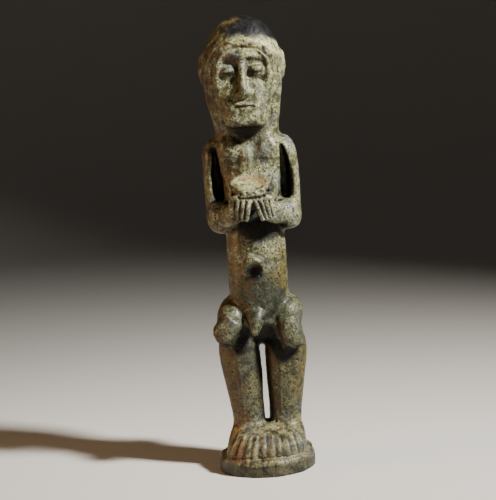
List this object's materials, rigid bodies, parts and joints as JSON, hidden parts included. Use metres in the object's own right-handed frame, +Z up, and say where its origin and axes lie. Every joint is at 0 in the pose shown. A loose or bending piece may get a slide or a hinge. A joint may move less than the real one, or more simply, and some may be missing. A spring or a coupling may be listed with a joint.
{
  "type": "carved wooden figurine",
  "caption": "Carved standing figure holding a small bowl before its chest, in one piece with a low round foot block.",
  "frame": {"origin": "centre of the foot block's flat underside", "axes": "+Z up along the figure, -Y the way the figure faces, +X to its left hand"},
  "size_m": [0.0695, 0.0735, 0.3196],
  "materials": {
    "wood": "dull, with a grey-green crust"
  },
  "bodies": {
    "root": {"figure": "wood"}
  },
  "joints": []
}
